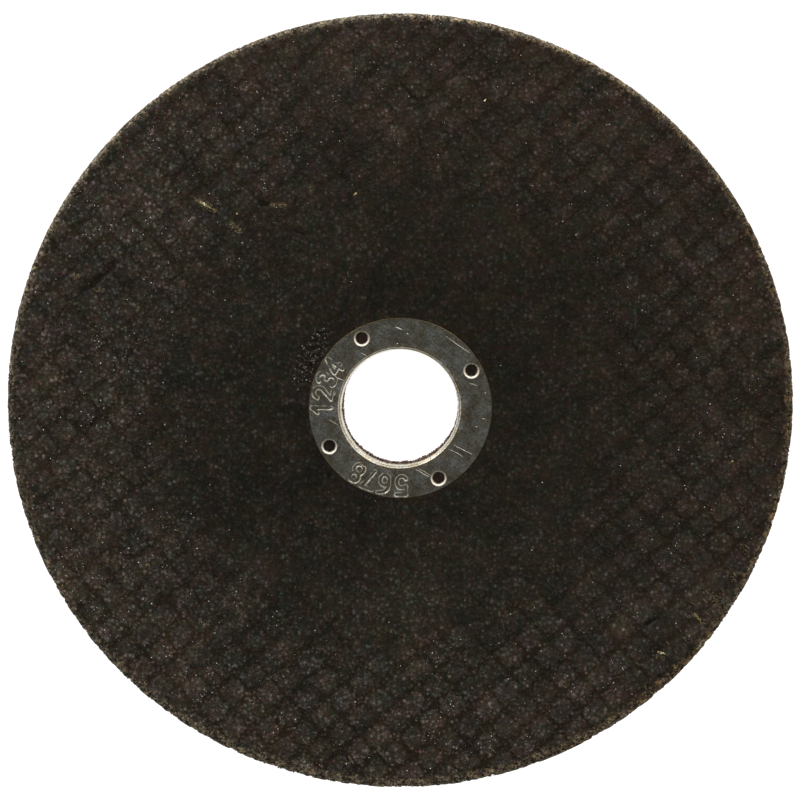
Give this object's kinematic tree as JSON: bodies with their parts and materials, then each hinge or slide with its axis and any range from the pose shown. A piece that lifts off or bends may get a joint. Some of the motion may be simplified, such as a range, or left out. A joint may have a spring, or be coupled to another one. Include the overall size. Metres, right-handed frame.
{
  "type": "grinding disc",
  "caption": "Flat round grinding disc of resin-bonded grain with a quilted mesh surface and a pressed steel ring round its centre bore.",
  "frame": {"origin": "centre of the disc's back face, on the bore axis", "axes": "+Z along the bore axis, out of the face that carries the steel ring; the disc lies flat on its back face. +X and +Y lie in the plane of the disc; the first keying hole of the ring is 28.4 degrees from +X towards +Y"},
  "size_m": [0.15, 0.15, 0.0031],
  "materials": {
    "abrasive_mix": "matte, gritty, almost black warm brown",
    "zinced_steel": "dull zinc with fine scratches, bright rolled edges",
    "glass_strand": "resin-stained glass fibre, golden, slightly shiny"
  },
  "bodies": {
    "root": {"abrasive_disc": "abrasive_mix", "arbor_ring": "zinced_steel"}
  },
  "joints": []
}
